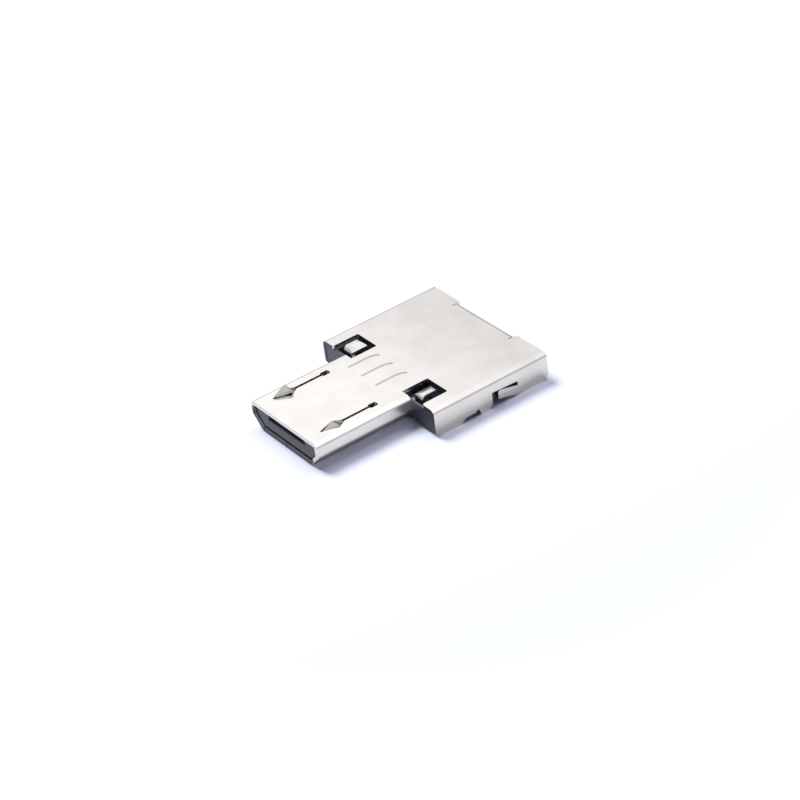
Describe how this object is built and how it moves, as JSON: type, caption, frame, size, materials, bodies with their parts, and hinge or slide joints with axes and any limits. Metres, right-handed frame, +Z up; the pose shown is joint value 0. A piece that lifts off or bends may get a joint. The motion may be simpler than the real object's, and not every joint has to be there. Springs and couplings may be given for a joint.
{
  "type": "usb otg adapter",
  "caption": "Flat metal adapter with a micro plug at the front; its wide body slides inside a full-size plug, with spring contacts underneath.",
  "frame": {"origin": "middle of the outline seen from above, at the level that the skirts' feet stand on", "axes": "+Y runs from the micro plug's tip to the rear of the body, +X is to the right seen from the plug's tip looking rearwards, +Z is up with the contacts below"},
  "size_m": [0.0114, 0.0154, 0.0021],
  "materials": {
    "shell_steel": "bright stamped stainless sheet",
    "latch_steel": "bright spring steel",
    "black_moulding": "satin moulded plastic",
    "gold_plate": "gold-plated copper alloy"
  },
  "bodies": {
    "root": {"shell": "shell_steel", "plug_insulator": "black_moulding", "base_insulator": "black_moulding"},
    "latch_left": {"latch_left": "latch_steel"},
    "latch_right": {"latch_right": "latch_steel"},
    "plug_contact_vbus": {"plug_contact_vbus": "gold_plate"},
    "plug_contact_data_minus": {"plug_contact_data_minus": "gold_plate"},
    "plug_contact_data_plus": {"plug_contact_data_plus": "gold_plate"},
    "plug_contact_id": {"plug_contact_id": "gold_plate"},
    "plug_contact_ground": {"plug_contact_ground": "gold_plate"},
    "base_contact_vbus": {"base_contact_vbus": "gold_plate"},
    "base_contact_data_minus": {"base_contact_data_minus": "gold_plate"},
    "base_contact_data_plus": {"base_contact_data_plus": "gold_plate"},
    "base_contact_ground": {"base_contact_ground": "gold_plate"}
  },
  "joints": [
    {"name": "latch_left_press", "type": "hinge", "parent": "root", "child": "latch_left", "pos_m": [-0.00245, 0.00074, 0.0011], "axis": [1, 0, 0], "range_deg": [0, 2.7], "stiffness_Nm_per_rad": 0.3},
    {"name": "latch_right_press", "type": "hinge", "parent": "root", "child": "latch_right", "pos_m": [0.00245, 0.00074, 0.0011], "axis": [1, 0, 0], "range_deg": [0, 2.7], "stiffness_Nm_per_rad": 0.3},
    {"name": "plug_contact_vbus_press", "type": "hinge", "parent": "root", "child": "plug_contact_vbus", "pos_m": [-0.0013, 0.00108, 0.00076], "axis": [1, 0, 0], "range_deg": [0, 1.16], "stiffness_Nm_per_rad": 0.18},
    {"name": "plug_contact_data_minus_press", "type": "hinge", "parent": "root", "child": "plug_contact_data_minus", "pos_m": [-0.00065, 0.00173, 0.00076], "axis": [1, 0, 0], "range_deg": [0, 1.06], "stiffness_Nm_per_rad": 0.18},
    {"name": "plug_contact_data_plus_press", "type": "hinge", "parent": "root", "child": "plug_contact_data_plus", "pos_m": [0, 0.00173, 0.00076], "axis": [1, 0, 0], "range_deg": [0, 1.06], "stiffness_Nm_per_rad": 0.18},
    {"name": "plug_contact_id_press", "type": "hinge", "parent": "root", "child": "plug_contact_id", "pos_m": [0.00065, 0.00108, 0.00076], "axis": [1, 0, 0], "range_deg": [0, 1.16], "stiffness_Nm_per_rad": 0.18},
    {"name": "plug_contact_ground_press", "type": "hinge", "parent": "root", "child": "plug_contact_ground", "pos_m": [0.0013, 0.00108, 0.00076], "axis": [1, 0, 0], "range_deg": [0, 1.16], "stiffness_Nm_per_rad": 0.18},
    {"name": "base_contact_vbus_press", "type": "hinge", "parent": "root", "child": "base_contact_vbus", "pos_m": [-0.0035, 0.00108, 0.0006], "axis": [1, 0, 0], "range_deg": [0, 3.24], "stiffness_Nm_per_rad": 0.05},
    {"name": "base_contact_data_minus_press", "type": "hinge", "parent": "root", "child": "base_contact_data_minus", "pos_m": [-0.001, 0.00173, 0.0006], "axis": [1, 0, 0], "range_deg": [0, 3.8], "stiffness_Nm_per_rad": 0.05},
    {"name": "base_contact_data_plus_press", "type": "hinge", "parent": "root", "child": "base_contact_data_plus", "pos_m": [0.001, 0.00173, 0.0006], "axis": [1, 0, 0], "range_deg": [0, 3.8], "stiffness_Nm_per_rad": 0.05},
    {"name": "base_contact_ground_press", "type": "hinge", "parent": "root", "child": "base_contact_ground", "pos_m": [0.0035, 0.00108, 0.0006], "axis": [1, 0, 0], "range_deg": [0, 3.24], "stiffness_Nm_per_rad": 0.05}
  ]
}
